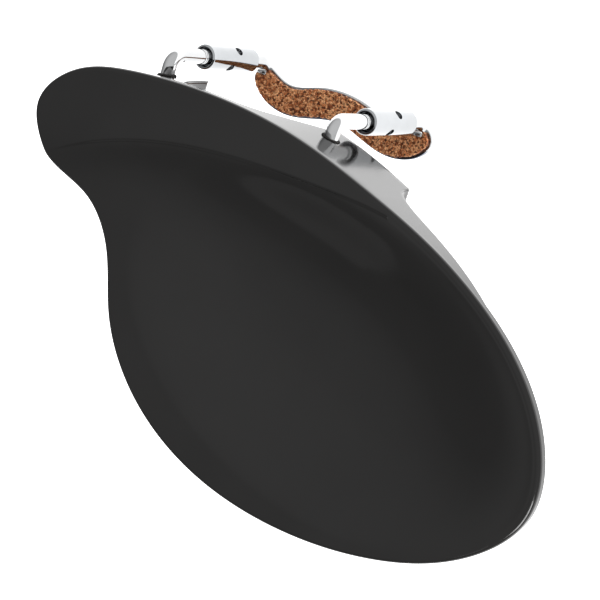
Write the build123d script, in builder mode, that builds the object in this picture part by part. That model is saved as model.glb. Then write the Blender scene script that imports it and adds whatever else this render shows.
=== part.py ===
from build123d import *
import os
from math import cos, exp, radians, sin

# Violin chin rest with a two-post screw clamp, in millimetres.
# +X runs towards the arm, -X towards the cup, +Y away from the player and +Z up. The origin lies midway
# between the two upper rods, where they leave the feet, on the plane that the pads press on.

# Chin plate: rim plane, ridge, bowl and shell
rim_z = 24.3
rim_slope_x = 0.08
rim_slope_y = -0.05
rim_thickness = 3.0
rim_taper = 0.009
ridge_height = 2.5
ridge_width = 6.5
crest_nearest = (-33.0, 6.2)
crest_curve_arm = (0.0006, 0.000045)
crest_curve_cup = 0.007
ridge_middle = -4.0
ridge_reach = 38.0
bowl_depth = 7.0
bowl_underside_extra = 0.6
bowl_centre = (-37.0, 38.0)
bowl_reach = (47.0, 31.0)
bowl_turn = -16.0
plate_top = 40.0
surface_step = 4
edge_round = 0.9
outline_points = [
    (37.6, 12.5), (31.3, 3.5), (19.0, -0.6), (0.0, -2.3), (-20.2, -0.8), (-40.6, 4.5),
    (-60.1, 12.5), (-74.9, 22.9), (-84.3, 36.0), (-86.3, 49.2), (-77.3, 62.1), (-60.1, 70.8),
    (-38.0, 74.1), (-17.8, 71.3), (-0.5, 61.8), (9.9, 47.3), (14.4, 34.2), (21.2, 26.5), (30.9, 22.2),
]
wall_lean = [0.0, 0.0, 0.02, 0.01, 0.03, 0.07, 0.05, 0.02] + [0.0] * 11
lean_level = 21.0

# Feet and their cork pads: each foot's two side curves in X and Z, from the pad up into the plate
wall_radius = 100.0
foot_depth = 12.0
cup_foot_lead = 8.0
arm_foot_recess = 0.5
pad_thickness = 1.2
pad_inset = 1.2
pad_corner = 1.5
cup_foot = (-36.3, -18.2)
cup_foot_outer = [(-37.3, 6.0), (-40.5, 9.3), (-50.0, 12.4), (-62.0, 15.0), (-72.0, 17.5)]
cup_foot_inner = [(-14.8, 9.0), (-11.8, 14.8), (-7.5, 20.0), (0.0, 22.0)]
arm_foot = (15.6, 27.0)
arm_foot_outer = [(28.0, 10.0), (33.0, 22.0), (36.0, 26.0)]
arm_foot_inner = [(14.0, 9.0), (11.8, 14.8), (7.5, 20.0), (0.0, 22.0)]

# Upper rods
rod_spacing = 41.0
rod_d = 3.1
rod_z = 9.2
rod_hole_depth = 10.5
rod_end_gap = 0.5
rod_chamfer = 0.3
fit_gap = 0.05
bend_radius = 2.6
barrel_y = -3.9

# Barrels
barrel_d = 5.4
barrel_length = 17.4
barrel_drop = 11.2
barrel_round = 0.45
mouth_d = 4.4
mouth_depth = 0.9
thread_engagement = 8.2
key_hole_d = 2.0
key_holes = ((0.435, 145.0), (0.585, 235.0))

# Lower posts and bracket
post_drop = 6.9
leg_proud = 1.8
leg_end_y = -1.0
bracket_thickness = 1.6
bracket_shift = -0.8
bracket_far_edge = [(6.5, 4.3), (12.5, 5.6), (18.0, 4.9), (22.0, 2.2)]
bracket_near_edge = [(23.0, -0.8), (21.2, -3.0), (18.0, -2.2), (14.0, -1.0), (7.0, -2.8)]
bracket_middle = (3.0, -3.8)
cork_thickness = 1.3
cork_inset = 0.35
corner_length = 8.0

# Worked out from the dimensions above
rod_xs = {"arm_side": rod_spacing / 2, "cup_side": -rod_spacing / 2}
wall_apex_y = -((rod_spacing / 2) ** 2) / (2 * wall_radius)
barrel_top = rod_z - barrel_drop
barrel_bottom = barrel_top - barrel_length
bore_d = rod_d + 2 * fit_gap
leg_z = barrel_bottom - post_drop
bracket_top = leg_z + rod_d / 2 - leg_proud


def wall_y(x):
    """Where the feet's outer wall stands: a wide arc that follows the edge of the instrument."""
    return wall_apex_y + x**2 / (2 * wall_radius)


def rim_height(x, y):
    """A plane that falls towards the cup end and away from the player."""
    return rim_z + rim_slope_x * x + rim_slope_y * y


def bowl(x, y):
    """1 at the bowl's deepest point, falling smoothly to 0 on a turned ellipse."""
    turn = radians(bowl_turn)
    dx, dy = x - bowl_centre[0], y - bowl_centre[1]
    along = (dx * cos(turn) + dy * sin(turn)) / bowl_reach[0]
    across = (dy * cos(turn) - dx * sin(turn)) / bowl_reach[1]
    radius = min(1.0, (along**2 + across**2) ** 0.5)
    return (1 - radius**3) ** 2


def ridge(x, y):
    """1 on the crest, a curve from the cup's near edge to the arm, fading at both of its ends."""
    from_nearest = x - crest_nearest[0]
    if from_nearest > 0:
        rise = crest_curve_arm[0] * from_nearest**2 + crest_curve_arm[1] * from_nearest**3
    else:
        rise = crest_curve_cup * from_nearest**2
    crest_y = crest_nearest[1] + rise
    return exp(-(((x - ridge_middle) / ridge_reach) ** 4) - ((y - crest_y) / ridge_width) ** 2)


def top_height(x, y):
    """The rim plane, raised by the ridge and lowered by the bowl."""
    return rim_height(x, y) + ridge_height * ridge(x, y) - bowl_depth * bowl(x, y)


def underside_height(x, y):
    """Below the rim plane by the rim's thickness, and following the bowl a little deeper."""
    thickness = rim_thickness + rim_taper * x
    return rim_height(x, y) - thickness - (bowl_depth + bowl_underside_extra) * bowl(x, y)


def surface(height):
    """A spline surface over the plan, wider than the plate on every side."""
    xs = range(-105, 56, surface_step)
    ys = range(-22, 95, surface_step)
    return Face.make_surface_from_array_of_points([[(x, y, height(x, y)) for x in xs] for y in ys])


def foot_band(recess, lead):
    """The strip of plan between a foot's outer wall, moved out by lead, and its inner side."""
    xs = (-75.0, -50.0, -25.0, 0.0, 25.0, 45.0)
    near = [(x, wall_y(x) + recess - lead) for x in xs]
    far = [(x, wall_y(x) + recess + foot_depth) for x in xs]
    with BuildLine() as line:
        Spline(*near)
        Spline(*far)
        Line(near[0], far[0])
        Line(near[-1], far[-1])
    return make_face(line.line.edges(), mode=Mode.PRIVATE)


def leaning_outline(level):
    """The outline at a height: each point moves out along Y by its lean for every millimetre above the rim's level."""
    return [(x, y - lean * (level - lean_level)) for (x, y), lean in zip(outline_points, wall_lean)]


os.makedirs("parts", exist_ok=True)

def foot_block(ends, outer, inner, lead, recess):
    """One foot down to its pad: its profile in X and Z, kept to the band that its outer wall and depth give."""
    with BuildPart() as block:
        with BuildSketch(Plane.XZ.offset(-plate_top)):
            with BuildLine():
                Line((ends[0], pad_thickness), (ends[1], pad_thickness))
                outer_curve = Spline((min(ends, key=lambda x: -abs(x)), pad_thickness), *outer)
                inner_curve = Spline((min(ends, key=abs), pad_thickness), *inner)
                Polyline(
                    outer_curve @ 1,
                    (outer[-1][0], plate_top),
                    (inner[-1][0], plate_top),
                    inner_curve @ 1,
                )
            make_face()
        extrude(amount=2 * plate_top)
        with BuildSketch(Plane.XY.offset(-pad_thickness)):
            add(foot_band(recess, lead))
        extrude(amount=2 * plate_top, mode=Mode.INTERSECT)
    return block.part


cup_foot_block = foot_block(cup_foot, cup_foot_outer, cup_foot_inner, cup_foot_lead, 0.0)
arm_foot_block = foot_block(arm_foot, arm_foot_outer, arm_foot_inner, 0.0, arm_foot_recess)

with BuildPart() as space_below:
    with BuildSketch(Plane.XY.offset(-1.0)):
        with Locations((-25.0, 36.0)):
            Rectangle(140.0, 96.0)
    extrude(amount=plate_top)
    split(bisect_by=surface(underside_height), keep=Keep.TOP)
    add(cup_foot_block, mode=Mode.SUBTRACT)
    add(arm_foot_block, mode=Mode.SUBTRACT)

# Chin plate: everything under the top surface, less the space below it that the feet leave
with BuildPart() as chin_plate:
    for level in (0.0, plate_top):
        with BuildSketch(Plane.XY.offset(level)):
            with BuildLine():
                Spline(*leaning_outline(level), periodic=True)
            make_face()
    loft(ruled=True)
    split(bisect_by=surface(top_height), keep=Keep.TOP)
    add(space_below.part, mode=Mode.SUBTRACT)
    with BuildSketch(Plane.XZ.offset(-rod_hole_depth)):
        with Locations(*[(x, rod_z) for x in rod_xs.values()]):
            Circle(bore_d / 2)
    extrude(amount=rod_hole_depth - barrel_y, mode=Mode.SUBTRACT)
    rim_edge = chin_plate.edges().sort_by(SortBy.LENGTH)[-1]
    fillet(rim_edge, radius=edge_round)
chin_plate.part.label = "chin_plate"
export_step(chin_plate.part, "parts/chin_plate.step")


# Pads: cork, set in from each foot's edges so that none shows from above
for side, (x_low, x_high), recess in (("arm_side", arm_foot, arm_foot_recess), ("cup_side", cup_foot, 0.0)):
    with BuildPart() as pad:
        with BuildSketch():
            with BuildLine():
                xs = (x_low + pad_inset, (x_low + x_high) / 2, x_high - pad_inset)
                near = [(x, wall_y(x) + recess + pad_inset) for x in xs]
                far = [(x, wall_y(x) + recess + foot_depth - pad_inset) for x in xs]
                ThreePointArc(*near)
                ThreePointArc(*far)
                Line(near[0], far[0])
                Line(near[2], far[2])
            make_face()
        extrude(amount=pad_thickness)
        fillet(pad.edges().filter_by(Axis.Z), radius=pad_corner)
    pad.part.label = f"{side}_pad"
    export_step(pad.part, f"parts/{side}_pad.step")


# Rods, posts and barrels: the same on both sides
for side, x in rod_xs.items():
    with BuildPart() as rod:
        with BuildLine() as rod_path:
            rod_end = (x, barrel_y, barrel_top - thread_engagement)
            rod_start = (x, rod_hole_depth - rod_end_gap, rod_z)
            FilletPolyline(rod_start, (x, barrel_y, rod_z), rod_end, radius=bend_radius)
        with BuildSketch(Plane(rod_path.line @ 0, z_dir=rod_path.line % 0)):
            Circle(rod_d / 2)
        sweep()
        chamfer(rod.edges().group_by(Axis.Z)[0], length=rod_chamfer)
    rod.part.label = f"{side}_rod"
    export_step(rod.part, f"parts/{side}_rod.step")

    with BuildPart() as post:
        with BuildLine() as post_path:
            post_end = (x, barrel_y, barrel_bottom + thread_engagement)
            FilletPolyline((x, leg_end_y, leg_z), (x, barrel_y, leg_z), post_end, radius=bend_radius)
        with BuildSketch(Plane(post_path.line @ 0, z_dir=post_path.line % 0)):
            Circle(rod_d / 2)
        sweep()
        chamfer(post.edges().group_by(Axis.Z)[-1], length=rod_chamfer)
    post.part.label = f"{side}_post"
    export_step(post.part, f"parts/{side}_post.step")

    with BuildPart() as barrel:
        with BuildSketch(Plane.XY.offset(barrel_bottom)):
            with Locations((x, barrel_y)):
                Circle(barrel_d / 2)
        extrude(amount=barrel_length)
        fillet(barrel.edges().filter_by(GeomType.CIRCLE), radius=barrel_round)
        with BuildSketch(Plane.XY.offset(barrel_bottom)):
            with Locations((x, barrel_y)):
                Circle(bore_d / 2)
        extrude(amount=barrel_length, mode=Mode.SUBTRACT)
        for end, inward in ((barrel_top, -1), (barrel_bottom, 1)):
            with Locations((x, barrel_y, end + inward * mouth_depth / 2)):
                Cone(
                    bottom_radius=(bore_d if inward < 0 else mouth_d) / 2,
                    top_radius=(mouth_d if inward < 0 else bore_d) / 2,
                    height=mouth_depth,
                    mode=Mode.SUBTRACT,
                )
        for share, angle in key_holes:
            across = (cos(radians(angle)), sin(radians(angle)), 0)
            centre = (x, barrel_y, barrel_top - share * barrel_length)
            with Locations(Plane(centre, z_dir=across).location):
                Cylinder(key_hole_d / 2, 2 * barrel_d, mode=Mode.SUBTRACT)
    barrel.part.label = f"{side}_barrel"
    export_step(barrel.part, f"parts/{side}_barrel.step")


# Bracket plate and its cork: a serpentine strip, whose cork leaves the corners where the posts arrive
def strip_points(inset):
    """The strip's outline, moved in by inset: its right half, and the same mirrored."""
    half_width = bracket_near_edge[0][0]
    squeeze = 1 - inset / half_width
    far = [(x * squeeze, y - inset) for x, y in bracket_far_edge]
    near = [(x * squeeze, y + inset) for x, y in bracket_near_edge]
    right = far + near
    left = [(-x, y) for x, y in reversed(right)]
    loop = [(0.0, bracket_middle[0] - inset)] + right + [(0.0, bracket_middle[1] + inset)] + left
    return [(x + bracket_shift, y) for x, y in loop]


with BuildPart() as bracket_plate:
    with BuildSketch(Plane.XY.offset(bracket_top - bracket_thickness)):
        with BuildLine():
            Spline(*strip_points(0.0), periodic=True)
        make_face()
    extrude(amount=bracket_thickness)
    with BuildSketch(Plane.XZ.offset(-leg_end_y)):
        with Locations(*[(x, leg_z) for x in rod_xs.values()]):
            Circle(bore_d / 2)
    extrude(amount=2 * rod_hole_depth, mode=Mode.SUBTRACT)
bracket_plate.part.label = "bracket_plate"
export_step(bracket_plate.part, "parts/bracket_plate.step")

with BuildPart() as bracket_cork:
    with BuildSketch(Plane.XY.offset(bracket_top)):
        with BuildLine():
            Spline(*strip_points(cork_inset), periodic=True)
        make_face()
    extrude(amount=cork_thickness)
    with BuildSketch(Plane.XY.offset(bracket_top)):
        for x in rod_xs.values():
            outward = 1 if x > 0 else -1
            with Locations((x + outward * (corner_length - bore_d) / 2, leg_end_y + fit_gap)):
                Rectangle(corner_length, corner_length, align=(Align.CENTER, Align.MAX))
    extrude(amount=cork_thickness, mode=Mode.SUBTRACT)
bracket_cork.part.label = "bracket_cork"
export_step(bracket_cork.part, "parts/bracket_cork.step")
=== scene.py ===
"""Violin chin rest with a two-post screw clamp: the pieces, finishes and stage around the packed model."""

import bpy
import numpy as np
from bpy.props import FloatProperty, FloatVectorProperty, IntProperty, PointerProperty
from mathutils import Matrix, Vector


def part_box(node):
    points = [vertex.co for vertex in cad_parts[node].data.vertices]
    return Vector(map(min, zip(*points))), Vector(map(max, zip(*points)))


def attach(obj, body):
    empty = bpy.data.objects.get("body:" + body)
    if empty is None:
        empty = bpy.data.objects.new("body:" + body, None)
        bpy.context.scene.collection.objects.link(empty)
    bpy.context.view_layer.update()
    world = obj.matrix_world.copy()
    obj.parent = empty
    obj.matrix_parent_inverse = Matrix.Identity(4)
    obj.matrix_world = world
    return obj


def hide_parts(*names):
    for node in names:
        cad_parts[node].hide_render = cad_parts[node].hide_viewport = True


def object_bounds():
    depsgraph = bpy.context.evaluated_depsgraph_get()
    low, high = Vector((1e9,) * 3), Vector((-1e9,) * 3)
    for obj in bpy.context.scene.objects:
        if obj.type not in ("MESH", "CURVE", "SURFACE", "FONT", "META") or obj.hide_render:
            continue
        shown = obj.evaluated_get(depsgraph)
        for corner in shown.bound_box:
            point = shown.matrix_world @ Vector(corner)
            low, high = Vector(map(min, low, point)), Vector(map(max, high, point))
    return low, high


bl_info = {
    "name": "Violin Chin Rest",
    "version": (1, 0, 0),
    "blender": (4, 5, 0),
    "location": "3D View > Sidebar > Chin Rest",
    "description": "Makes the pieces, finishes and stage of a chin rest around its packed model",
    "category": "Add Mesh",
}

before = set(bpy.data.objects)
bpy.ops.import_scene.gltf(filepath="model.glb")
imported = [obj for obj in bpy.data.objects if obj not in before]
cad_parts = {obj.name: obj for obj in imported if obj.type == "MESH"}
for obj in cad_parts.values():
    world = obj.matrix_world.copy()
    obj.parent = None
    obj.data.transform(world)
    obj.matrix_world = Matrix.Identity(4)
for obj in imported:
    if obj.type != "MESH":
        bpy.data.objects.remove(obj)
CAD_BOUNDS = [list(corner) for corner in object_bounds()]
MM = 0.001

# The studio: the sky's glow from its dark side, 0, to its bright side, 1, and the way to the bright side
SKY = [
    (0.14, 0.05), (0.23, 0.12), (0.29, 0.33), (0.46, 0.5),
    (0.5, 0.6), (0.62, 0.83), (0.72, 0.97), (0.9, 1.1),
]
SKY_AXIS = (-0.5, -0.5, 0.7)
KEY_LIGHT = {"place": (-0.5, 0.5, 0.5), "target": (0, 0, 0), "size": 0.35, "power": 6.0}
STREAK_LIGHT = {"place": (0.36, 0.90, 0.26), "target": (-0.03, 0.01, 0.02), "size": 0.3, "power": 0.06}
FLOOR_REACH = 6.0

# The camera: its focal length and sensor in millimetres, its place in metres, and its axes right, up and back
LENS, SENSOR_WIDTH = 114.0, 36.0
CAMERA_PLACE = (-0.19848, -0.06212, 0.32768)
CAMERA_AXES = [(-0.8029, -0.2860, -0.5230), (0.3742, -0.9248, -0.0686), (-0.4641, -0.2508, 0.8496)]

# Chin plate, in millimetres: the plan's points, the rim plane, the ridge and the bowl; its finish's index
OUTLINE = np.array([
    (37.6, 12.5), (31.3, 3.5), (19.0, -0.6), (0.0, -2.3), (-20.2, -0.8), (-40.6, 4.5),
    (-60.1, 12.5), (-74.9, 22.9), (-84.3, 36.0), (-86.3, 49.2), (-77.3, 62.1), (-60.1, 70.8),
    (-38.0, 74.1), (-17.8, 71.3), (-0.5, 61.8), (9.9, 47.3), (14.4, 34.2), (21.2, 26.5), (30.9, 22.2),
])
WALL_LEAN = np.array([0.0, 0.0, 0.02, 0.01, 0.03, 0.07, 0.05, 0.02] + [0.0] * 11)
LEAN_LEVEL = 21.0
RIM_Z, RIM_SLOPE_X, RIM_SLOPE_Y = 24.3, 0.08, -0.05
RIM_THICKNESS, RIM_TAPER = 3.0, 0.009
BOWL_CENTRE, BOWL_REACH, BOWL_TURN = (-37.0, 38.0), (47.0, 31.0), np.radians(-16.0)
BOWL_DEPTH, UNDERSIDE_EXTRA = 7.0, 0.6
CREST_NEAREST, CREST_CURVE_ARM, CREST_CURVE_CUP = (-33.0, 6.2), (0.0006, 0.000045), 0.007
RIDGE_MIDDLE, RIDGE_REACH = -4.0, 38.0
PLATE_INDEX = 1.36

# The near edge's raised bead and crisp line. A fade is where it reaches 0 and its length up to 1
EDGE_BEAD, BEAD_WIDTH, BEAD_POWER = 0.3, 1.6, 1.5
BEAD_FADE, BESIDE_FADE, FAR_FADE = (-44.0, 16.0), (-36.0, 6.0), (72.0, 14.0)
LINE_WIDTH, LINE_INSET, LINE_AWAY = 0.28, 1.5, 30.0
LINE_END_FADE, LINE_FAR_FADE, LINE_SOFT_FADE, LINE_SOFTEST = (34.0, 14.0), (64.0, 14.0), (-56.0, 16.0), 0.36

# Feet: the wall's arc, each foot's profile in X and Z, and the arm foot's step back from the rim
WALL_RADIUS, WALL_APEX_Y = 100.0, -2.10125
FOOT_DEPTH, ARM_FOOT_RECESS = 12.0, 0.5
CUP_OUTER = [(-36.3, 1.2), (-37.3, 6.0), (-40.5, 9.3), (-50.0, 12.4), (-62.0, 15.0), (-72.0, 17.5)]
CUP_INNER = [(-18.2, 1.2), (-14.8, 9.0), (-11.8, 14.8), (-7.5, 20.0), (0.0, 22.0)]
ARM_OUTER = [(27.0, 1.2), (28.0, 10.0), (33.0, 22.0), (36.0, 26.0)]
ARM_INNER = [(15.6, 1.2), (14.0, 9.0), (11.8, 14.8), (7.5, 20.0), (0.0, 22.0)]
ARM_END_FROM = 29.0
PAD_INSET, PAD_CORNER = 1.2, 1.5

# The shell's rows: its middle, how they crowd towards the rim, the round under the rim's wall, the slant of
# a foot's two side walls, the near side's limits in x and y, and how far rows run where there is no foot
POLE, ROW_CROWDING = (-18.0, 26.0), 1.5
LIP_ROUND, FOOT_SLANT, BACK_SLANT = 0.4, 0.25, 0.3
NEAR_LIMITS, NO_PROFILE = (-74.0, 40.0, 24.0), 99.0
OPEN_SHARE, LEAST_LENGTH = 0.28, 0.8

# Clamp: the rods, barrels and posts stand at x = +20.5 and -20.5
SIDES = {"arm_side": 20.5, "cup_side": -20.5}
CLAMP_Y, ROD_Z, BEND_RADIUS, ROD_RADIUS = -3.9, 9.2, 2.6, 1.55
THREAD_LENGTH, BAR_COLUMNS = 9.6, 40
HOLE_LIP, HOLE_GAP, HOLE_ROUGHNESS = 0.28, 0.08, 0.7
LEG_Z, LEG_END_Y = -26.3, -1.0
BRACKET_TOP, BRACKET_THICKNESS = -26.55, 1.6
CORK_THICKNESS, CORK_INSET, CORK_EDGE, CORK_RAGGED = 1.3, 0.35, 0.3, 0.4
CORK_GRAINS, GRAIN_HEIGHT, GRAIN_LEVEL, GROOVE_DEPTH, GROOVE_WIDTH = 1500, 0.16, 0.9, 0.12, 0.16
BRACKET_SHIFT = -0.8
BRACKET_FAR = [(6.5, 4.3), (12.5, 5.6), (18.0, 4.9), (22.0, 2.2)]
BRACKET_NEAR = [(23.0, -0.8), (21.2, -3.0), (18.0, -2.2), (14.0, -1.0), (7.0, -2.8)]
BRACKET_MIDDLE = (3.0, -3.8)


# ---------------------------------------------------------------- curves and meshes


def spline(points, samples, closed=False):
    """A cubic spline through points at chord-length parameters: natural ends, or periodic where closed.
    Returns the points at the given samples, which run from 0 to 1 over the whole curve."""
    p = np.asarray(points, float)
    if closed:
        p = np.vstack([p, p[:1]])
    t = np.concatenate([[0.0], np.cumsum(np.linalg.norm(np.diff(p, axis=0), axis=1))])
    h, n = np.diff(t), len(p)
    slope = np.diff(p, axis=0) / h[:, None]
    a, b = np.eye(n), np.zeros_like(p)
    i = np.arange(1, n - 1)
    a[i, i - 1], a[i, i], a[i, i + 1] = h[:-1], 2 * (h[:-1] + h[1:]), h[1:]
    b[i] = 6 * (slope[1:] - slope[:-1])
    if closed:
        a[0, :2], a[0, -2] = (2 * (h[0] + h[-1]), h[0]), h[-1]
        b[0] = 6 * (slope[0] - slope[-1])
        a[-1, 0], a[-1, -1] = -1.0, 1.0
    curvature = np.linalg.solve(a, b)
    s = np.asarray(samples) * t[-1]
    k = np.clip(np.searchsorted(t, s, side="right") - 1, 0, n - 2)
    hk, u = h[k][:, None], (t[k + 1] - s)[:, None]
    v = (s - t[k])[:, None]
    return (
        (curvature[k] * u**3 + curvature[k + 1] * v**3) / (6 * hk)
        + (p[k] / hk - curvature[k] * hk / 6) * u
        + (p[k + 1] / hk - curvature[k + 1] * hk / 6) * v
    )


def grid_mesh(name, points, wrap_u=True, wrap_v=False, cap_ends=False):
    """An object from a grid of points in millimetres, points[v, u], closed round u or v where asked.
    cap_ends closes each end of v with a fan to a point in its middle."""
    rows, columns = points.shape[:2]
    vertices = points.reshape(-1, 3)
    last_v, last_u = rows - (not wrap_v), columns - (not wrap_u)
    v, u = (axis.ravel() for axis in np.meshgrid(np.arange(last_v), np.arange(last_u), indexing="ij"))
    un, vn = (u + 1) % columns, (v + 1) % rows
    row, next_row = v * columns, vn * columns
    faces = np.stack([row + u, row + un, next_row + un, next_row + u], axis=1).tolist()
    if cap_ends:
        first, last = len(vertices), len(vertices) + 1
        vertices = np.vstack([vertices, points[0].mean(axis=0), points[-1].mean(axis=0)])
        k = np.arange(columns)
        kn = (k + 1) % columns
        end = (rows - 1) * columns
        faces += np.stack([np.full(columns, first), kn, k], axis=1).tolist()
        faces += np.stack([np.full(columns, last), end + k, end + kn], axis=1).tolist()
    mesh = bpy.data.meshes.new(name)
    mesh.from_pydata((vertices * MM).tolist(), [], faces)
    mesh.validate()
    mesh.shade_smooth()
    made = bpy.data.objects.new(name, mesh)
    bpy.context.scene.collection.objects.link(made)
    return made


def set_attribute(made, name, values):
    """Stores one number for each vertex, for the material to read."""
    layer = made.data.attributes.new(name, "FLOAT", "POINT")
    layer.data.foreach_set("value", np.asarray(values, np.float32).ravel())


def finish_piece(made, body, nodes, material):
    """Ties a piece to its body, the CAD nodes it stands for, its slot and its material."""
    made.data.materials.append(material)
    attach(made, body)
    if nodes:
        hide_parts(*nodes)
    return made


def sweep(path, normals, radius, columns):
    """Circles carried along a path: each row is centre + radius * (cos a * side + sin a * normal), where side
    is the path's direction crossed with normal, and radius is one number for each point of the grid."""
    tangent = np.gradient(path, axis=0)
    tangent /= np.linalg.norm(tangent, axis=1)[:, None]
    side = np.cross(tangent, normals)
    a = np.arange(columns) * 2 * np.pi / columns
    ring = np.cos(a)[None, :, None] * side[:, None] + np.sin(a)[None, :, None] * normals[:, None]
    return path[:, None] + ring * radius[:, :, None]


# ---------------------------------------------------------------- chin plate


def wall_y(x):
    """The feet's outer wall: apex + x squared / (2 * radius)."""
    return WALL_APEX_Y + x**2 / (2 * WALL_RADIUS)


def rim_height(x, y):
    """A plane with one slope in x and one in y."""
    return RIM_Z + RIM_SLOPE_X * x + RIM_SLOPE_Y * y


def bowl(x, y):
    """(1 - r cubed) squared, where r is the distance from the bowl's centre on a turned ellipse, up to 1."""
    c, s = np.cos(BOWL_TURN), np.sin(BOWL_TURN)
    dx, dy = x - BOWL_CENTRE[0], y - BOWL_CENTRE[1]
    r = np.hypot((dx * c + dy * s) / BOWL_REACH[0], (dy * c - dx * s) / BOWL_REACH[1])
    return (1 - np.minimum(r, 1) ** 3) ** 2


def ridge(x, y, sharpness, width):
    """1 on the crest's curve, falling away on both sides as exp(-(0.6 d + 0.4 d squared)), where d is the
    distance over width with its tip rounded off by sharpness, and fading along the crest at both ends as
    exp(-(distance from the ridge's middle / its reach) to the 4th). The curve rises from its nearest point
    as a square and a cube of the distance towards the arm, and as a square towards the cup."""
    q = x - CREST_NEAREST[0]
    toward_arm = CREST_CURVE_ARM[0] * q**2 + CREST_CURVE_ARM[1] * q**3
    crest_y = CREST_NEAREST[1] + np.where(q > 0, toward_arm, CREST_CURVE_CUP * q**2)
    d = np.sqrt(((y - crest_y) / width) ** 2 + sharpness**2) - sharpness
    return np.exp(-(((x - RIDGE_MIDDLE) / RIDGE_REACH) ** 4)) * np.exp(-d * (0.6 + 0.4 * d))


def top_height(x, y):
    """Rim plane + ridge height * ridge - bowl depth * bowl."""
    settings = bpy.context.scene.chin_rest
    crest = settings.ridge_height / MM * ridge(x, y, settings.crest_softness, settings.ridge_width / MM)
    return rim_height(x, y) + crest - BOWL_DEPTH * bowl(x, y)


def underside_height(x, y):
    """Rim plane - thickness - (bowl depth + extra) * bowl."""
    thickness = RIM_THICKNESS + RIM_TAPER * x
    return rim_height(x, y) - thickness - (BOWL_DEPTH + UNDERSIDE_EXTRA) * bowl(x, y)


def foot_profile(x):
    """The height of the feet's lower edge at x: each foot's side curves, its flat face for the pad, and the
    arch between."""
    samples = np.linspace(0, 1, 400)
    curves = [spline(points, samples) for points in (CUP_OUTER, CUP_INNER, ARM_INNER, ARM_OUTER)]
    line = np.vstack([curves[0][::-1], curves[1], curves[2][::-1], curves[3]])
    order = np.argsort(line[:, 0], kind="stable")
    return np.interp(x, line[order, 0], line[order, 1], left=NO_PROFILE, right=NO_PROFILE)


def plate_columns(count):
    """Samples round the outline: even steps, with more of them where the feet's side curves are steep."""
    fine = np.linspace(0, 1, 6001)[:-1]
    xy = spline(OUTLINE, fine, closed=True)
    near = (xy[:, 1] < 24) & (xy[:, 0] > -76) & (xy[:, 0] < 34)
    z = np.minimum(foot_profile(xy[:, 0]), underside_height(xy[:, 0], xy[:, 1]))
    rise = np.abs(np.gradient(z)) * near
    weight = np.hypot(*np.gradient(xy, axis=0).T) + 1.2 * rise
    total = np.concatenate([[0.0], np.cumsum(weight)])
    return np.interp(np.arange(count) / count * total[-1], total, np.linspace(0, 1, 6001))


def fade(place, end, reach):
    """1 well before end, falling evenly to 0 over reach before it."""
    return np.clip((end - place) / reach, 0, 1)


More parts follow.
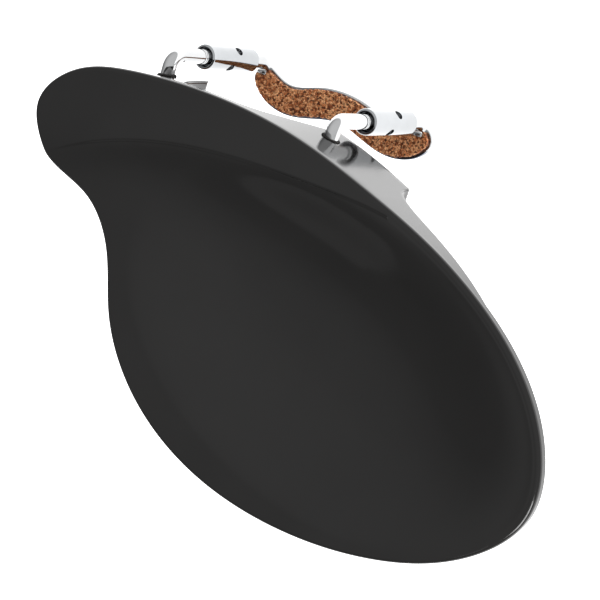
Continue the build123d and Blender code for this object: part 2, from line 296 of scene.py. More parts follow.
def plate_points(columns, top_rows, edge_round):
    """The whole shell as rows from the middle of the top to the middle of the underside, and how far inside
    the cup's near edge each point is (LINE_AWAY more away from that edge).
    Top rows run on straight lines from the pole to the edge's round; the round is an arc of a rolling ball
    that touches the top and the wall; the wall drops to the lower edge; then come the step to the foot, the
    foot's outer wall, its bottom, its inner wall and the underside back to the pole. Columns on the near side
    cross a foot straight to its back. Those round the arm's end fan out to points along that back."""
    u = plate_columns(columns)
    shape = spline(np.column_stack([OUTLINE, WALL_LEAN]), u, closed=True)
    base, lean = shape[:, :2], shape[:, 2]

    def at_level(z):
        """The outline at a height: it moves along -Y by its lean for each millimetre above its level."""
        return np.dstack([np.broadcast_to(base[:, 0], z.shape), base[:, 1] - lean * (z - LEAN_LEVEL)])

    rim = at_level(rim_height(*base.T)[None])[0]
    ahead, behind = (spline(OUTLINE, (u + step) % 1.0, closed=True) for step in (1e-4, -1e-4))
    along = ahead - behind
    along /= np.linalg.norm(along, axis=1)[:, None]
    out = np.stack([-along[:, 1], along[:, 0]], axis=1)
    middle = rim.mean(axis=0)
    if np.mean(np.sum(out * (rim - middle), axis=1)) < 0:
        out = -out
    pole = np.array(POLE)
    inner = rim - 2 * edge_round * out
    slope = (top_height(*(rim - 0.1 * out).T) - top_height(*inner.T)) / (2 * edge_round - 0.1)
    start = np.arctan2(1.0, -slope)
    touch = rim - edge_round * (1 - np.cos(start))[:, None] * out
    centre_z = top_height(*touch.T) - edge_round * np.sin(start)
    short_of_far = fade(rim[:, 1], *FAR_FADE)
    bead = EDGE_BEAD * fade(rim[:, 0], *BEAD_FADE) * short_of_far
    centre_z = centre_z + bead
    share = 1 - (1 - np.linspace(0.0, 1.0, top_rows)[1:]) ** ROW_CROWDING
    reach = np.linalg.norm(touch - pole, axis=1)[None] * (1 - share[:, None])
    plan = pole + (touch - pole)[None] * share[:, None, None]
    raised = bead[None] * np.exp(-((reach / BEAD_WIDTH) ** BEAD_POWER))
    rows = [np.dstack([plan, top_height(plan[..., 0], plan[..., 1]) + raised])]
    beside = fade(rim[:, 0], *BESIDE_FADE) * short_of_far
    inside = reach + edge_round + LINE_AWAY * (1 - beside[None])
    turn = start[None] * (1 - np.linspace(0, 1, 9)[1:, None])
    arc_xy = rim[None] - edge_round * (1 - np.cos(turn))[..., None] * out[None]
    rows.append(np.dstack([arc_xy, centre_z + edge_round * np.sin(turn)]))

    x, y = base.T
    back_y = wall_y(x) + FOOT_DEPTH
    is_arm = x > 0
    round_end = (x > ARM_END_FROM) & (y < back_y)
    least_x, most_x, most_y = NEAR_LIMITS
    on_near = (y < np.where(is_arm, back_y, most_y)) & (x < most_x) & (x > least_x)

    def lower(points):
        """The foot's profile or the underside, whichever is lower, and the underside away from the feet."""
        profile = np.where(on_near, foot_profile(points[..., 0]), NO_PROFILE)
        return np.minimum(profile, underside_height(points[..., 0], points[..., 1]))

    edge_z = np.where(is_arm, underside_height(x, y), lower(base)) + LIP_ROUND
    foot = at_level(edge_z[None])[0]
    y = foot[:, 1]
    to_far = (pole - foot) * OPEN_SHARE
    depth = np.stack([np.zeros_like(x), wall_y(x) + FOOT_DEPTH - y], axis=1)
    blend = on_near * np.clip((x + 73.0) / 6.0, 0, 1)
    blend = (blend * blend * (3 - 2 * blend))[:, None]
    inward = blend * depth + (1 - blend) * to_far
    place = np.where(u > 0.5, u - 1, u)
    last, first = place[round_end].max(), place[round_end].min()
    tip_x = x[round_end][np.argmin(place[round_end])]
    end_x = ARM_END_FROM + (tip_x - ARM_END_FROM) * (last - place) / (last - first)
    to_back = np.stack([end_x - x, wall_y(end_x) + FOOT_DEPTH - y], axis=1)
    inward = np.where(round_end[:, None], to_back, inward)
    length = np.maximum(np.linalg.norm(inward, axis=1), LEAST_LENGTH)[:, None]
    direction = inward / length
    arm = on_near * np.clip((x - 2.0) / 5.0, 0, 1)
    recess = (LIP_ROUND + arm * np.maximum(wall_y(x) + ARM_FOOT_RECESS - y - LIP_ROUND, 0))[:, None]

    wall_z = centre_z + (edge_z - centre_z) * np.linspace(0, 1, 15)[1:, None]
    rows.append(np.dstack([at_level(wall_z), wall_z]))
    turn = np.linspace(0, np.pi / 2, 5)[1:, None]
    lip = foot[None] + direction[None] * (LIP_ROUND * (1 - np.cos(turn)))[..., None]
    rows.append(np.dstack([lip, edge_z - LIP_ROUND * np.sin(turn)]))
    step = foot[None] + direction[None] * np.linspace(0.4, 1, 3)[1:, None, None] * recess[None]
    step_z = np.where(is_arm, underside_height(step[..., 0], step[..., 1]), lower(step))
    rows.append(np.dstack([step, step_z]))
    foot_edge = foot + direction * (recess + FOOT_SLANT)
    foot_z, above = lower(foot_edge), step_z[-1]
    drop = np.linspace(0, 1, 10)[1:, None]
    drop_xy = step[-1] + (foot_edge - step[-1])[None] * drop[..., None]
    rows.append(np.dstack([drop_xy, above + (foot_z - above) * drop]))
    across = np.linspace(0, 1, 21)[1:, None, None]
    floor_xy = foot_edge + (foot + inward - foot_edge)[None] * across
    rows.append(np.dstack([floor_xy, lower(floor_xy)]))
    back = foot + inward + BACK_SLANT * direction
    back_xy = floor_xy[-1] + (back - floor_xy[-1])[None] * drop[..., None]
    bottom, top = lower(floor_xy[-1]), underside_height(*back.T)
    rows.append(np.dstack([back_xy, bottom + (top - bottom) * drop]))
    home = back + (pole - back)[None] * np.linspace(0, 1, 30)[1:-1, None, None]
    rows.append(np.dstack([home, underside_height(home[..., 0], home[..., 1])]))
    shell = np.concatenate(rows)
    return shell, np.pad(inside, ((0, len(shell) - len(inside)), (0, 0)))


def make_plate(settings):
    """The chin plate as one closed shell."""
    points, inside = plate_points(settings.plate_columns, settings.plate_rows, settings.edge_round / MM)
    made = grid_mesh("chin_plate_shell", points[::-1], cap_ends=True)
    set_attribute(made, "inside_edge", np.append(inside[::-1].ravel(), [0.0, 60.0]))
    return finish_piece(made, "rest", ["chin_plate"], black_finish(settings))


# ---------------------------------------------------------------- clamp


def bent_path(ends_z, side_x, start_y, thread_step):
    """A straight run along Y, a quarter circle and a straight run along Z, with a point every thread_step
    on the second run. ends_z gives the first run's height and the second run's end."""
    z0, z1 = ends_z
    sign = np.sign(z1 - z0)
    first = np.linspace(start_y, CLAMP_Y + BEND_RADIUS, 12)
    a = np.linspace(0, np.pi / 2, 14)[1:-1]
    second = np.arange(0.0, abs(z1 - z0) - BEND_RADIUS, thread_step)
    bend_y = CLAMP_Y + BEND_RADIUS * (1 - np.sin(a))
    bend_z = z0 + sign * BEND_RADIUS * (1 - np.cos(a))
    y = np.concatenate([first, bend_y, np.full(len(second), CLAMP_Y)])
    z = np.concatenate([np.full(len(first), z0), bend_z, z0 + sign * (BEND_RADIUS + second)])
    path = np.stack([np.full(len(y), side_x), y, z], axis=1)
    plain = abs(z1 - z0) - BEND_RADIUS - THREAD_LENGTH
    thread_from = len(first) + len(a) + int(max(plain, 0.0) / thread_step)
    tangent = np.gradient(path, axis=0)
    tangent /= np.linalg.norm(tangent, axis=1)[:, None]
    return path, np.cross(tangent, np.array([1.0, 0.0, 0.0])), thread_from


def threaded_bar(name, ends_z, side_x, start_y, settings):
    """A bent bar whose second run has a helical thread: radius = bar radius - depth * groove, where groove is
    ((1 + cos(2 pi phase)) / 2) to the 1.5th and phase = turn / 2 pi + length / pitch, and with both ends
    chamfered."""
    pitch, depth = settings.thread_pitch / MM, settings.thread_depth / MM
    path, normals, thread_from = bent_path(ends_z, side_x, start_y, pitch / 8)
    length = np.concatenate([[0.0], np.cumsum(np.linalg.norm(np.diff(path, axis=0), axis=1))])
    phase = (length[:, None] / pitch + np.arange(BAR_COLUMNS)[None] / BAR_COLUMNS) % 1.0
    groove = (0.5 + 0.5 * np.cos(2 * np.pi * phase)) ** 1.5
    run_in = np.clip((length - length[thread_from] + 0.3) / (1.5 * pitch), 0, 1)[:, None]
    radius = ROD_RADIUS - depth * groove * run_in
    tip = np.clip((length[-1] - length) / 0.45, 0, 1)
    head = np.clip(length / 0.2, 0, 1)
    radius = radius * (0.72 + 0.28 * np.minimum(tip, head))[:, None]
    return grid_mesh(name, sweep(path, normals, radius, BAR_COLUMNS), cap_ends=True)


def make_rods(settings):
    """The two upper rods: out of the foot's wall, bent down and threaded into the barrel."""
    for side, x in SIDES.items():
        low, high = (np.array(c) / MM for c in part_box(f"{side}_rod"))
        made = threaded_bar(f"{side}_threaded_rod", (ROD_Z, low[2]), x, high[1], settings)
        plating = bright_metal("rod plating", 0.08, settings.metal_colour)
        finish_piece(made, "rest", [f"{side}_rod"], plating)


def near_wall(x, z):
    """The plate's near wall: the outline's y at x, moved by its lean for the height."""
    line = spline(np.column_stack([OUTLINE, WALL_LEAN]), np.linspace(0, 1, 2001), closed=True)
    line = line[(line[:, 1] < 24) & (line[:, 0] > -70) & (line[:, 0] < 34)]
    line = line[np.argsort(line[:, 0])]
    lean = np.interp(x, line[:, 0], line[:, 2])
    return np.interp(x, line[:, 0], line[:, 1]) - lean * (z - LEAN_LEVEL)


def make_hole_shade_lips(settings):
    """A dark ragged lip round each rod where it comes out of the wall: a ring round the rod's axis whose own
    radius changes a little at random, and whose middle follows the wall."""
    turn = np.arange(96) * 2 * np.pi / 96
    around = np.arange(14) * 2 * np.pi / 14
    for side, x in SIDES.items():
        rough = 1 + HOLE_ROUGHNESS * (np.random.default_rng(5).random(96) - 0.5)[None]
        reach = ROD_RADIUS + HOLE_GAP + HOLE_LIP * rough * np.cos(around)[:, None]
        lip_x, lip_z = x + reach * np.cos(turn), ROD_Z + reach * np.sin(turn)
        wall = wall_y(lip_x) + ARM_FOOT_RECESS if side == "arm_side" else near_wall(lip_x, lip_z)
        lip_y = wall - HOLE_LIP * rough * np.sin(around)[:, None]
        made = grid_mesh(f"{side}_hole_shade_lip", np.dstack([lip_x, lip_y, lip_z]), wrap_v=True)
        # Near-black matt colour: painted shade of the hole round the rod.
        finish_piece(made, "rest", [], plain_finish("hole shade lip", (0.012, 0.011, 0.01), 0.0))


def make_posts(settings):
    """The two lower posts: up out of the barrel's mouth and bent over the bracket."""
    for side, x in SIDES.items():
        high = np.array(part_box(f"{side}_post")[1]) / MM
        made = threaded_bar(f"{side}_threaded_post", (LEG_Z, high[2]), x, LEG_END_Y, settings)
        plating = bright_metal("post plating", 0.08, settings.metal_colour)
        finish_piece(made, "clamp_bracket", [f"{side}_post"], plating)


def make_barrels(settings):
    """The barrels keep their machined CAD shape and get a polished plating."""
    for side in SIDES:
        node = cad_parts[f"{side}_barrel"]
        node.data.materials.clear()
        node.data.materials.append(bright_metal("barrel plating", 0.06, settings.barrel_colour))


# ---------------------------------------------------------------- bracket and corks


def strip_points(inset):
    """The strip's outline, moved in by inset: its right half, and the same mirrored."""
    half_width = BRACKET_NEAR[0][0]
    squeeze = 1 - inset / half_width
    right = [(x * squeeze, y - inset) for x, y in BRACKET_FAR]
    right += [(x * squeeze, y + inset) for x, y in BRACKET_NEAR]
    left = [(-x, y) for x, y in reversed(right)]
    loop = [(0.0, BRACKET_MIDDLE[0] - inset)] + right + [(0.0, BRACKET_MIDDLE[1] + inset)] + left
    return np.array([(x + BRACKET_SHIFT, y) for x, y in loop])


def strip_solid(name, inset, bottom, top, edge, columns, rows_across, bump=None, ragged=0.0):
    """A flat strip: straight rows join the two long sides of its outline, so that its top and its bottom are
    grids that close into one ring. Both draw together at the rim by edge - sqrt(edge squared - d squared),
    where d grows to edge at the rim. bump raises the top, and ragged moves the two sides in at random."""
    loop = spline(strip_points(inset), np.linspace(0, 1, 1201)[:-1], closed=True)
    x_low, x_high = loop[:, 0].min(), loop[:, 0].max()
    split = np.argmax(loop[:, 0])
    start = np.argmin(loop[:, 0])
    loop = np.roll(loop, -start, axis=0)
    split = (split - start) % len(loop)
    far, near = loop[: split + 1], np.vstack([loop[split:], loop[:1]])[::-1]
    a = np.linspace(0, np.pi, columns)
    x = (x_low + x_high) / 2 - (x_high - x_low) / 2 * np.cos(a)
    sf, sn = np.argsort(far[:, 0]), np.argsort(near[:, 0])
    y_far, y_near = np.interp(x, far[sf, 0], far[sf, 1]), np.interp(x, near[sn, 0], near[sn, 1])
    crumb = np.random.default_rng(3).random((2, columns // 3 + 2)) * ragged
    grain_x = np.linspace(x_low, x_high, columns // 3 + 2)
    y_far = y_far - np.interp(x, grain_x, crumb[0])
    y_near = y_near + np.interp(x, grain_x, crumb[1])
    b = np.linspace(0, np.pi, rows_across)
    across = (0.5 - 0.5 * np.cos(b))[:, None]
    y = y_near + (y_far - y_near) * across
    plan = np.dstack([np.broadcast_to(x, y.shape), y])
    distance = np.minimum(np.minimum(y - y_near, y_far - y), np.minimum(x - x_low, x_high - x)[None])
    fall = edge - np.sqrt(np.maximum(edge**2 - np.maximum(edge - distance, 0) ** 2, 0))
    rise = 0.0 if bump is None else bump(plan) * np.clip(distance / edge, 0, 1)
    upper = np.dstack([plan, top - fall + rise])
    lower = np.dstack([plan, bottom + fall])
    ring = np.concatenate([upper, lower[::-1]])
    return grid_mesh(name, ring, wrap_u=False, wrap_v=True)


def make_bracket(settings):
    """The bracket plate, a bright strip with rounded edges."""
    made = strip_solid("bracket_strip", 0.0, BRACKET_TOP - BRACKET_THICKNESS, BRACKET_TOP, 0.35, 160, 24)
    # The bracket's far side gets a painted dark reflection.
    plating = bright_metal("bracket plating", 0.12, settings.metal_colour, settings.bracket_painted_reflection)
    finish_piece(made, "clamp_bracket", ["bracket_plate"], plating)


def granules(plan, seed, count, low, high):
    """Scattered grain centres, and for each point of plan the distances to its nearest and second nearest one
    and the nearest one's number."""
    random = np.random.default_rng(seed)
    centres = low + random.random((count, 2)) * (np.array(high) - low)
    flat = plan.reshape(-1, 2)
    near, second, which = [], [], []
    for part in np.array_split(flat, 40):
        d = np.linalg.norm(part[:, None] - centres[None], axis=2)
        order = np.argpartition(d, 1, axis=1)[:, :2]
        pair = np.take_along_axis(d, order, axis=1)
        swap = pair[:, 0] > pair[:, 1]
        near.append(pair.min(axis=1))
        second.append(pair.max(axis=1))
        which.append(np.where(swap, order[:, 1], order[:, 0]))
    shape = plan.shape[:2]
    return [np.concatenate(found).reshape(shape) for found in (near, second, which)]


def cork_bump(plan):
    """Grains that stand up unevenly, with a groove where two meet: grain height * (the grain's own number
    - level) - groove depth * exp(-(difference of the two nearest distances / groove width) squared)."""
    near, second, which = granules(plan, 7, CORK_GRAINS, (-25.0, -5.0), (24.0, 7.0))
    own = np.random.default_rng(11).random(CORK_GRAINS)[which]
    groove = np.exp(-(((second - near) / GROOVE_WIDTH) ** 2))
    return GRAIN_HEIGHT * (own - GRAIN_LEVEL) - GROOVE_DEPTH * groove


def make_bracket_cork(settings):
    """The bracket's lining: coarse cork with a granular top."""
    top = BRACKET_TOP + CORK_THICKNESS
    made = strip_solid(
        "bracket_cork_lining", CORK_INSET, BRACKET_TOP, top, CORK_EDGE, 420, 70, cork_bump, CORK_RAGGED
    )
    # Below the cork's top, its sides are darkened as painted shade.
    cork = cork_finish(settings, "coarse cork", 2000.0, top)
    finish_piece(made, "clamp_bracket", ["bracket_cork"], cork)


def make_pads(settings):
    """The pads under the feet: fine cork sheets with rounded corners and edges."""
    for side in SIDES:
        low, high = (np.array(c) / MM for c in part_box(f"{side}_pad"))
        recess = ARM_FOOT_RECESS if side == "arm_side" else 0.0
        x = np.linspace(low[0], high[0], 60)
        t = np.linspace(0, 1, 40)[:, None]
        near = wall_y(x) + recess + PAD_INSET
        from_end = np.minimum(x - low[0], high[0] - x)
        past = np.maximum(PAD_CORNER - from_end, 0)
        corner = PAD_CORNER - np.sqrt(np.maximum(PAD_CORNER**2 - past**2, 0))
        y = near + corner + (FOOT_DEPTH - 2 * PAD_INSET - 2 * corner) * (0.5 - 0.5 * np.cos(np.pi * t))
        plan = np.dstack([np.broadcast_to(x, y.shape), y])
        lower = np.dstack([plan, np.full(y.shape, low[2])])
        upper = np.dstack([plan, np.full(y.shape, high[2])])
        sheet = np.concatenate([upper, lower[::-1]])
        made = grid_mesh(f"{side}_cork_pad", sheet, wrap_u=False, wrap_v=True)
        # The level stands 5 mm above the pad, so the whole pad is darkened as painted shade.
        cork = cork_finish(settings, "fine cork", 1800.0, high[2] + 5.0)
        finish_piece(made, "rest", [f"{side}_pad"], cork)


# ---------------------------------------------------------------- materials


class Value:
    """Wraps a node's output socket, so that shader maths reads as an expression."""

    def __init__(self, tree, socket):
        self.tree, self.socket = tree, socket

    def maths(self, operation, a, b):
        return self.tree.node("ShaderNodeMath", {"operation": operation}, {0: a, 1: b}).out("Value")

    def __add__(self, other):
        return self.maths("ADD", self, other)

    def __sub__(self, other):
        return self.maths("SUBTRACT", self, other)

    def __rsub__(self, other):
        return self.maths("SUBTRACT", other, self)

    def __mul__(self, other):
        return self.maths("MULTIPLY", self, other)

    def __truediv__(self, other):
        return self.maths("DIVIDE", self, other)

    __radd__ = __add__
    __rmul__ = __mul__


class Node:
    """A node just made: out() gives one of its outputs."""

    def __init__(self, tree, node):
        self.tree, self.made = tree, node

    def out(self, name):
        return Value(self.tree, self.made.outputs[name])


class Tree:
    """A node tree, made node by node."""

    def __init__(self, tree):
        self.nodes, self.links = tree.nodes, tree.links

    def node(self, kind, settings, sockets):
        """A node of a kind, its settings first, then its sockets' values or links. "stops" fills a ramp."""
        made = self.nodes.new(kind)
        for key, value in settings.items():
            if key == "stops":
                ramp = made.color_ramp
                while len(ramp.elements) < len(value):
                    ramp.elements.new(0.5)
                for element, (place, colour) in zip(ramp.elements, value):
                    element.position, element.color = place, (*colour, 1.0)
            else:
                setattr(made, key, value)
        for key, value in sockets.items():
            self.plug(made.inputs[key], value)
        return Node(self, made)

    def plug(self, socket, value):
        """Links a value to a socket, or sets a constant on it."""
        if isinstance(value, Value):
            self.links.new(value.socket, socket)
        else:
            socket.default_value = value

    def place(self):
        return self.node("ShaderNodeTexCoord", {}, {}).out("Object")

    def noise(self, place, scale, detail=4.0, roughness=0.5):
        sockets = {"Vector": place, "Scale": scale, "Detail": detail, "Roughness": roughness}
        return self.node("ShaderNodeTexNoise", {}, sockets).out("Fac")

    def ramp(self, value, stops):
        return self.node("ShaderNodeValToRGB", {"stops": stops}, {"Fac": value}).out("Color")

    def mix(self, factor, a, b):
        """One colour into another: sockets 6 and 7 are a mix's two colours, and output 2 its colour."""
        return self.node("ShaderNodeMix", {"data_type": "RGBA"}, {0: factor, 6: a, 7: b}).out(2)

    def bump(self, height, strength, distance, under=None):
        """A bumped normal, over another one where given."""
        sockets = {"Height": height, "Strength": strength, "Distance": distance}
        if under is not None:
            sockets["Normal"] = under
        return self.node("ShaderNodeBump", {}, sockets).out("Normal")


class Shader(Tree):
    """A material's node tree."""

    def __init__(self, name):
        self.material = bpy.data.materials.new(name)
        self.material.use_nodes = True
        super().__init__(self.material.node_tree)

    def surface(self, **sockets):
        """Sets the shader's own sockets: Base_Color stands for Base Color."""
        for key, value in sockets.items():
            self.plug(self.nodes["Principled BSDF"].inputs[key.replace("_", " ")], value)
        return self.material


def clamp(value, low=0.0):
    """A shader value kept between low and 1."""
    return value.maths("MINIMUM", value.maths("MAXIMUM", value, low), 1.0)


def crest_line(made, place):
    """The crisp step at the crest, which goes on just inside the cup's near edge: tanh(distance / width),
    less of it along that edge, and fading out at both ends."""
    split = made.node("ShaderNodeSeparateXYZ", {}, {"Vector": place})
    x, y = split.out("X") / MM, split.out("Y") / MM
    q = x - CREST_NEAREST[0]
    arm, cup = q.maths("MAXIMUM", q, 0.0), q.maths("MINIMUM", q, 0.0)
    crest_y = (CREST_CURVE_ARM[0] + CREST_CURVE_ARM[1] * arm) * arm * arm
    crest_y = crest_y + CREST_CURVE_CUP * cup * cup
    inside = made.node("ShaderNodeAttribute", {"attribute_name": "inside_edge"}, {}).out("Fac")
    distance = q.maths("MINIMUM", y - crest_y - CREST_NEAREST[1], inside - LINE_INSET)
    arm_end = clamp((LINE_END_FADE[0] - x) / LINE_END_FADE[1])
    softer = clamp((x - LINE_SOFT_FADE[0]) / LINE_SOFT_FADE[1], LINE_SOFTEST)
    far_end = clamp((LINE_FAR_FADE[0] - y) / LINE_FAR_FADE[1])
    return arm_end * softer * far_end * q.maths("TANH", distance / LINE_WIDTH, 0.0)


def black_finish(settings):
    """Polished black with a faint grain: soft clouds in its colour and gloss, and a fine bump."""
    made = Shader("polished black")
    place = made.place()
    grain = made.noise(place, 1600.0, 3.0)
    cloud = made.noise(place, 60.0, 3.0)
    colour = list(settings.plate_colour)
    base = made.ramp(cloud, [(0.3, [c * 0.8 for c in colour]), (0.7, colour)])
    gloss = 0.07 + 0.05 * cloud + 0.03 * grain
    fine = made.bump(grain, 0.05, 0.00004)
    normal = made.bump(0.5 - 0.5 * crest_line(made, place), 1.0, settings.line_depth, fine)
    return made.surface(Base_Color=base, Roughness=gloss, Normal=normal, IOR=PLATE_INDEX)


def bright_metal(name, gloss, tint, painted_reflection_tint=None):
    """Bright plating: metal with faint clouds in its tint and gloss, and fine marks. far_tint is the tint of
    the side that faces the plate, from 1 to 2 mm beyond the instrument's edge on."""
    made = Shader(name)
    place = made.place()
    cloud = made.noise(place, 220.0, 3.0)
    mark = made.noise(place, 2600.0, 2.0)
    base = made.ramp(cloud, [(0.3, [c * 0.93 for c in tint]), (0.7, list(tint))])
    if painted_reflection_tint is not None:
        across = made.node("ShaderNodeSeparateXYZ", {}, {"Vector": place}).out("Y") / MM
        # Painted dark reflection: the side that faces the plate is mixed towards a dark tint.
        base = made.mix(clamp(across - 1.0), base, (*painted_reflection_tint, 1.0))
    normal = made.bump(mark, 0.04, 0.00002)
    roughness = gloss * 0.7 + gloss * 0.6 * cloud
    return made.surface(Base_Color=base, Metallic=1.0, Roughness=roughness, Normal=normal)


def grey(made, colour):
    """A colour's brightness."""
    return made.node("ShaderNodeRGBToBW", {}, {"Color": colour}).out("Val")


def cork_finish(settings, name, density, level):
    """Pressed cork: a cell pattern gives each grain its own brown, and the gaps between grains, scattered
    pits and the cut side below a level are darker."""
    made = Shader(name)
    place = made.place()
    pattern = {"Vector": place, "Scale": density}
    cells = made.node("ShaderNodeTexVoronoi", {"feature": "F1"}, pattern)
    gaps = made.node("ShaderNodeTexVoronoi", {"feature": "DISTANCE_TO_EDGE"}, pattern).out("Distance")
    grain = made.node("ShaderNodeSeparateColor", {}, {"Color": cells.out("Color")}).out("Red")
    fine = made.noise(place, density * 4, 4.0)
    tone = 0.7 * grain + 0.6 * fine - 0.12
    light, middle, dark = settings.cork_light, settings.cork_middle, settings.cork_dark
    colour = made.ramp(tone, [(0.2, dark), (0.42, middle), (0.72, light)])
    gap = made.ramp(gaps, [(0.0, (1, 1, 1)), (0.12, (0, 0, 0))])
    speckle = made.noise(place, density * 0.9, 2.0, 0.7)
    pits = made.ramp(speckle, [(0.40, (1, 1, 1)), (0.45, (0, 0, 0))])
    height = made.node("ShaderNodeSeparateXYZ", {}, {"Vector": place}).out("Z")
    # Painted shade: everything below the level is darkened.
    side = made.ramp((level * MM - height) / 0.0008, [(0.3, (0, 0, 0)), (0.7, (1, 1, 1))])
    shade = 0.6 * grey(made, gap) + 0.8 * grey(made, pits) + 0.7 * grey(made, side)
    shade = shade.maths("MINIMUM", shade, 1.0)
    deep = made.mix(shade, colour, (*[c * 0.35 for c in dark], 1.0))
    normal = made.bump(gaps * 2.0 + 0.4 * fine, 0.6, 0.00025)
    return made.surface(Base_Color=deep, Roughness=0.85, Normal=normal)


def plain_finish(name, colour, strength):
    """A matt finish that glows white with a strength: the floor is a light table."""
    made = Shader(name)
    white = (1.0, 1.0, 1.0, 1.0)
    return made.surface(
        Base_Color=(*colour, 1.0), Roughness=0.9, Emission_Color=white, Emission_Strength=strength
    )


# ---------------------------------------------------------------- stage


def make_floor(settings):
    """A pale light table under the bracket, low enough to clear it when the clamp is open."""
    z = CAD_BOUNDS[0][2] - settings.floor_gap
    corners = [(x * FLOOR_REACH, y * FLOOR_REACH, z) for x, y in ((-1, -1), (1, -1), (1, 1), (-1, 1))]
    mesh = bpy.data.meshes.new("pale_floor")
    mesh.from_pydata(corners, [], [(0, 1, 2, 3)])
    floor = bpy.data.objects.new("pale_floor", mesh)
    bpy.context.scene.collection.objects.link(floor)
    floor.data.materials.append(plain_finish("light table", (0.8, 0.8, 0.8), settings.floor_glow))


def make_light(name, place, target, size, power):
    """A square area light that faces a point."""
    data = bpy.data.lights.new(name, "AREA")
    data.shape, data.size, data.energy = "SQUARE", size, power
    lamp = bpy.data.objects.new(name, data)
    place, target = np.array(place, float), np.array(target, float)
    back = (place - target) / np.linalg.norm(place - target)
    side = np.cross([0.0, 1.0, 0.0], back)
    side /= np.linalg.norm(side)
    up = np.cross(back, side)
    matrix = np.eye(4)
    matrix[:3, 0], matrix[:3, 1], matrix[:3, 2], matrix[:3, 3] = side, up, back, place
    lamp.matrix_world = Matrix(matrix.tolist())
    bpy.context.scene.collection.objects.link(lamp)


def make_world():
    """A soft studio: its glow grows from its dark side to its bright side."""
    world = bpy.data.worlds.new("soft studio")
    bpy.context.scene.world = world
    world.use_nodes = True
    tree = Tree(world.node_tree)
    toward = tree.node("ShaderNodeTexCoord", {}, {}).out("Generated")
    facing = tree.node("ShaderNodeVectorMath", {"operation": "DOT_PRODUCT"}, {0: toward, 1: SKY_AXIS})
    glow = tree.ramp(0.5 * facing.out("Value") + 0.5, [(place, (level,) * 3) for place, level in SKY])
    tree.plug(tree.nodes["Background"].inputs["Color"], glow)


def make_camera():
    """The camera, above and beyond the cup's end. Its axes are squared up by a QR factorisation."""
    data = bpy.data.cameras.new("camera")
    data.lens, data.sensor_width = LENS, SENSOR_WIDTH
    data.clip_start, data.clip_end = 0.01, 20.0
    camera = bpy.data.objects.new("camera", data)
    q, r = np.linalg.qr(np.array(CAMERA_AXES).T)
    matrix = np.eye(4)
    matrix[:3, :3], matrix[:3, 3] = q * np.sign(np.diag(r)), CAMERA_PLACE
    camera.matrix_world = Matrix(matrix.tolist())
    bpy.context.scene.collection.objects.link(camera)
    bpy.context.scene.camera = camera


# ---------------------------------------------------------------- add-on


class ChinRestSettings(bpy.types.PropertyGroup):
    """Sizes and colours of the chin rest and its stage."""

    edge_round: FloatProperty(
        name="Edge round", description="Radius of the rim's upper edge", default=0.0009, unit="LENGTH"
    )
    ridge_height: FloatProperty(
        name="Ridge height", description="Height of the crest above the rim plane",
        default=0.0025, unit="LENGTH",
    )
    ridge_width: FloatProperty(
        name="Ridge width", description="How far the ridge's slopes reach", default=0.0052, unit="LENGTH"
    )
    crest_softness: FloatProperty(
        name="Crest softness", description="0 gives a sharp crest", default=0.12, min=0.0
    )
    line_depth: FloatProperty(
        name="Crest line depth", description="Height of the crisp step at the crest",
        default=0.00036, unit="LENGTH",
    )
    plate_columns: IntProperty(
        name="Plate columns", description="Divisions round the plate", default=640, min=64
    )
    plate_rows: IntProperty(
        name="Plate rows", description="Divisions from the middle to the rim", default=80, min=16
    )
    plate_colour: FloatVectorProperty(
        name="Plate colour", description="Colour of the plate",
        subtype="COLOR", default=(0.0055, 0.0052, 0.0050),
    )
    metal_colour: FloatVectorProperty(
        name="Metal colour", description="Tint of the plating",
        subtype="COLOR", default=(0.43, 0.435, 0.44),
    )
    barrel_colour: FloatVectorProperty(
        name="Barrel colour", description="Tint of the barrels' plating",
        subtype="COLOR", default=(0.335, 0.345, 0.355),
    )
    # The bracket's far side tint is a painted dark reflection, not the plating's own colour.
    bracket_painted_reflection: FloatVectorProperty(
        name="Bracket far side", description="Tint of the bracket's side that faces the plate",
        subtype="COLOR", default=(0.12, 0.13, 0.16),
    )
    thread_pitch: FloatProperty(
        name="Thread pitch", description="Length of one turn of the thread",
        default=0.0006, unit="LENGTH",
    )
    thread_depth: FloatProperty(
        name="Thread depth", description="Depth of the thread's groove", default=0.00014, unit="LENGTH"
    )
    cork_light: FloatVectorProperty(
        name="Light cork", description="Palest grains", subtype="COLOR", default=(1.0, 0.50, 0.23)
    )
    cork_middle: FloatVectorProperty(
        name="Middle cork", description="Most grains", subtype="COLOR", default=(0.68, 0.215, 0.065)
    )
    cork_dark: FloatVectorProperty(
        name="Dark cork", description="Darkest grains", subtype="COLOR", default=(0.16, 0.03, 0.004)
    )
    floor_gap: FloatProperty(
        name="Floor gap", description="Gap under the closed clamp", default=0.0135, unit="LENGTH"
    )
    floor_glow: FloatProperty(
        name="Floor glow", description="Brightness of the light table", default=1.55, min=0.0
    )


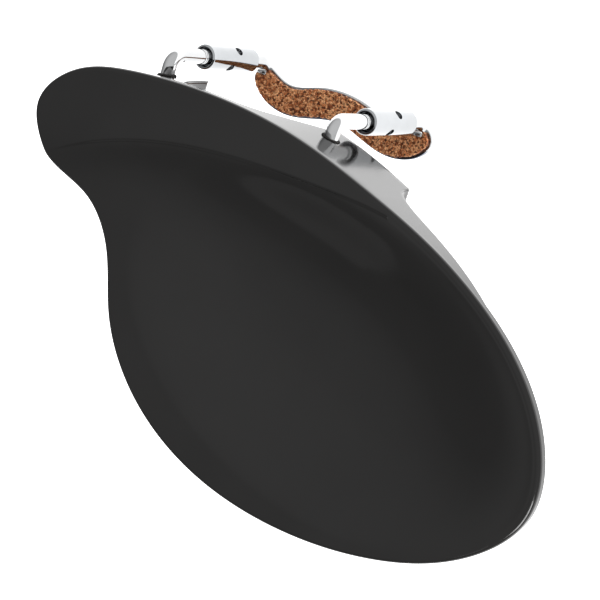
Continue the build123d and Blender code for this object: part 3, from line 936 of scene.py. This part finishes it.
def piece_operator(name, label, words, make):
    """An operator class for one piece or group of pieces."""

    class Maker(bpy.types.Operator):
        bl_idname = f"chin_rest.{name}"
        bl_label = label
        bl_options = {"REGISTER", "UNDO"}

        def execute(self, context):
            make(context.scene.chin_rest)
            return {"FINISHED"}

    Maker.__doc__ = words
    Maker.__name__ = "CHIN_REST_OT_" + name
    return Maker


def make_stage(settings):
    """Floor, soft lights, world and camera."""
    make_floor(settings)
    make_world()
    make_light("key", **KEY_LIGHT)
    make_light("streak", **STREAK_LIGHT)
    make_camera()


OPERATORS = [
    piece_operator("plate", "Chin plate", "Makes the chin plate", make_plate),
    piece_operator("pads", "Cork pads", "Makes the pads under the feet", make_pads),
    piece_operator("rods", "Upper rods", "Makes the threaded upper rods", make_rods),
    # The hole lips are painted shade standing in for the dark holes round the rods.
    piece_operator("lips", "Hole lips", "Makes the dark lips round the rods' holes", make_hole_shade_lips),
    piece_operator("barrels", "Barrels", "Gives the barrels their plating", make_barrels),
    piece_operator("posts", "Lower posts", "Makes the threaded lower posts", make_posts),
    piece_operator("bracket", "Bracket", "Makes the bracket strip", make_bracket),
    piece_operator("cork", "Bracket cork", "Makes the bracket's cork lining", make_bracket_cork),
    piece_operator("stage", "Stage", "Makes the floor, lights and camera", make_stage),
]


class CHIN_REST_PT_panel(bpy.types.Panel):
    """Lists the operators and settings in the sidebar."""

    bl_idname = "CHIN_REST_PT_panel"
    bl_label = "Chin Rest"
    bl_space_type = "VIEW_3D"
    bl_region_type = "UI"
    bl_category = "Chin Rest"

    def draw(self, context):
        settings = context.scene.chin_rest
        for key in ChinRestSettings.__annotations__:
            self.layout.prop(settings, key)
        for operator in OPERATORS:
            self.layout.operator(operator.bl_idname)


CLASSES = [ChinRestSettings, *OPERATORS, CHIN_REST_PT_panel]


def register():
    for made in CLASSES:
        bpy.utils.register_class(made)
    bpy.types.Scene.chin_rest = PointerProperty(type=ChinRestSettings)


def unregister():
    del bpy.types.Scene.chin_rest
    for made in reversed(CLASSES):
        bpy.utils.unregister_class(made)


def main():
    """Registers the add-on, makes every piece and the stage, and writes the two sizes."""
    register()
    bpy.context.scene.view_settings.view_transform = "Standard"
    for operator in OPERATORS:
        getattr(bpy.ops.chin_rest, operator.bl_idname.split(".")[1])()


if __name__ == "__main__":
    main()
